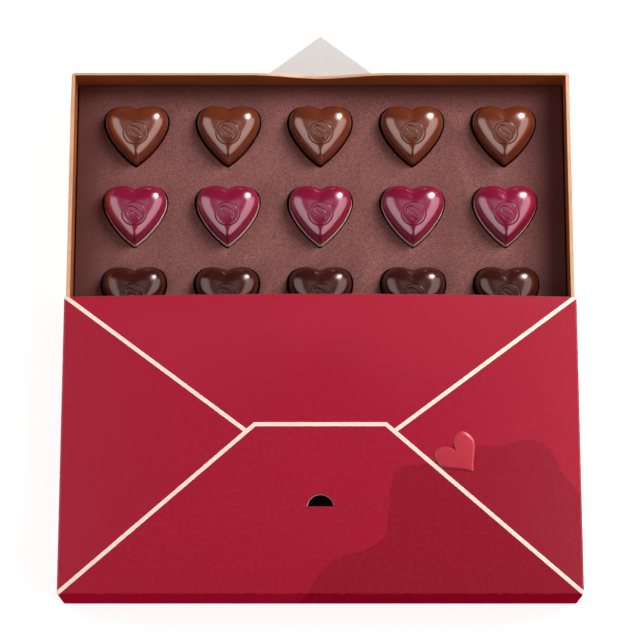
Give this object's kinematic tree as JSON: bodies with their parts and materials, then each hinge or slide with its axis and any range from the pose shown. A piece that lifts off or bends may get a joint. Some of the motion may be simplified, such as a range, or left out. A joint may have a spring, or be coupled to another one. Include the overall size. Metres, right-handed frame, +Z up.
{
  "type": "box of chocolate pralines",
  "caption": "Flat envelope-style slide box of red card, its copper tray drawn out over the open flap, with heart-shaped pralines in a felted insert.",
  "frame": {"origin": "middle of the crease between the sleeve's bottom panel and its flap, at the mouth of the sleeve, on the table", "axes": "+X to the right along the mouth, +Y out of the mouth towards the tip of the flap, +Z up"},
  "size_m": [0.25, 0.2934, 0.0328],
  "materials": {
    "red_card": "smooth printed card, satin, with pale copper foil lines outside and plain off-white inside",
    "raised_print": "raised satin print",
    "copper_card": "pearly copper paper over stiff card",
    "felted_insert": "short matt flock",
    "milk_chocolate": "moulded milk chocolate, glossy",
    "ruby_chocolate": "coloured cocoa butter over moulded chocolate, glossy",
    "pale_pink_chocolate": "smooth pale pink chocolate, satin",
    "dark_chocolate": "moulded dark chocolate, glossy"
  },
  "bodies": {
    "sleeve": {"sleeve": "red_card", "heart_seal": "raised_print"},
    "tray": {"tray": "copper_card", "insert": "felted_insert", "milk_heart_1": "milk_chocolate", "milk_heart_2": "milk_chocolate", "milk_heart_3": "milk_chocolate", "milk_heart_4": "milk_chocolate", "milk_heart_5": "milk_chocolate", "ruby_heart_1": "ruby_chocolate", "ruby_heart_2": "ruby_chocolate", "ruby_heart_3": "ruby_chocolate", "ruby_heart_4": "ruby_chocolate", "ruby_heart_5": "ruby_chocolate", "ruby_base_1": "pale_pink_chocolate", "ruby_base_2": "pale_pink_chocolate", "ruby_base_3": "pale_pink_chocolate", "ruby_base_4": "pale_pink_chocolate", "ruby_base_5": "pale_pink_chocolate", "dark_heart_1": "dark_chocolate", "dark_heart_2": "dark_chocolate", "dark_heart_3": "dark_chocolate", "dark_heart_4": "dark_chocolate", "dark_heart_5": "dark_chocolate"}
  },
  "joints": [
    {"name": "tray_slide", "type": "slide", "parent": "sleeve", "child": "tray", "axis": [0, 1, 0], "range_m": [-0.115, 0.018]}
  ]
}
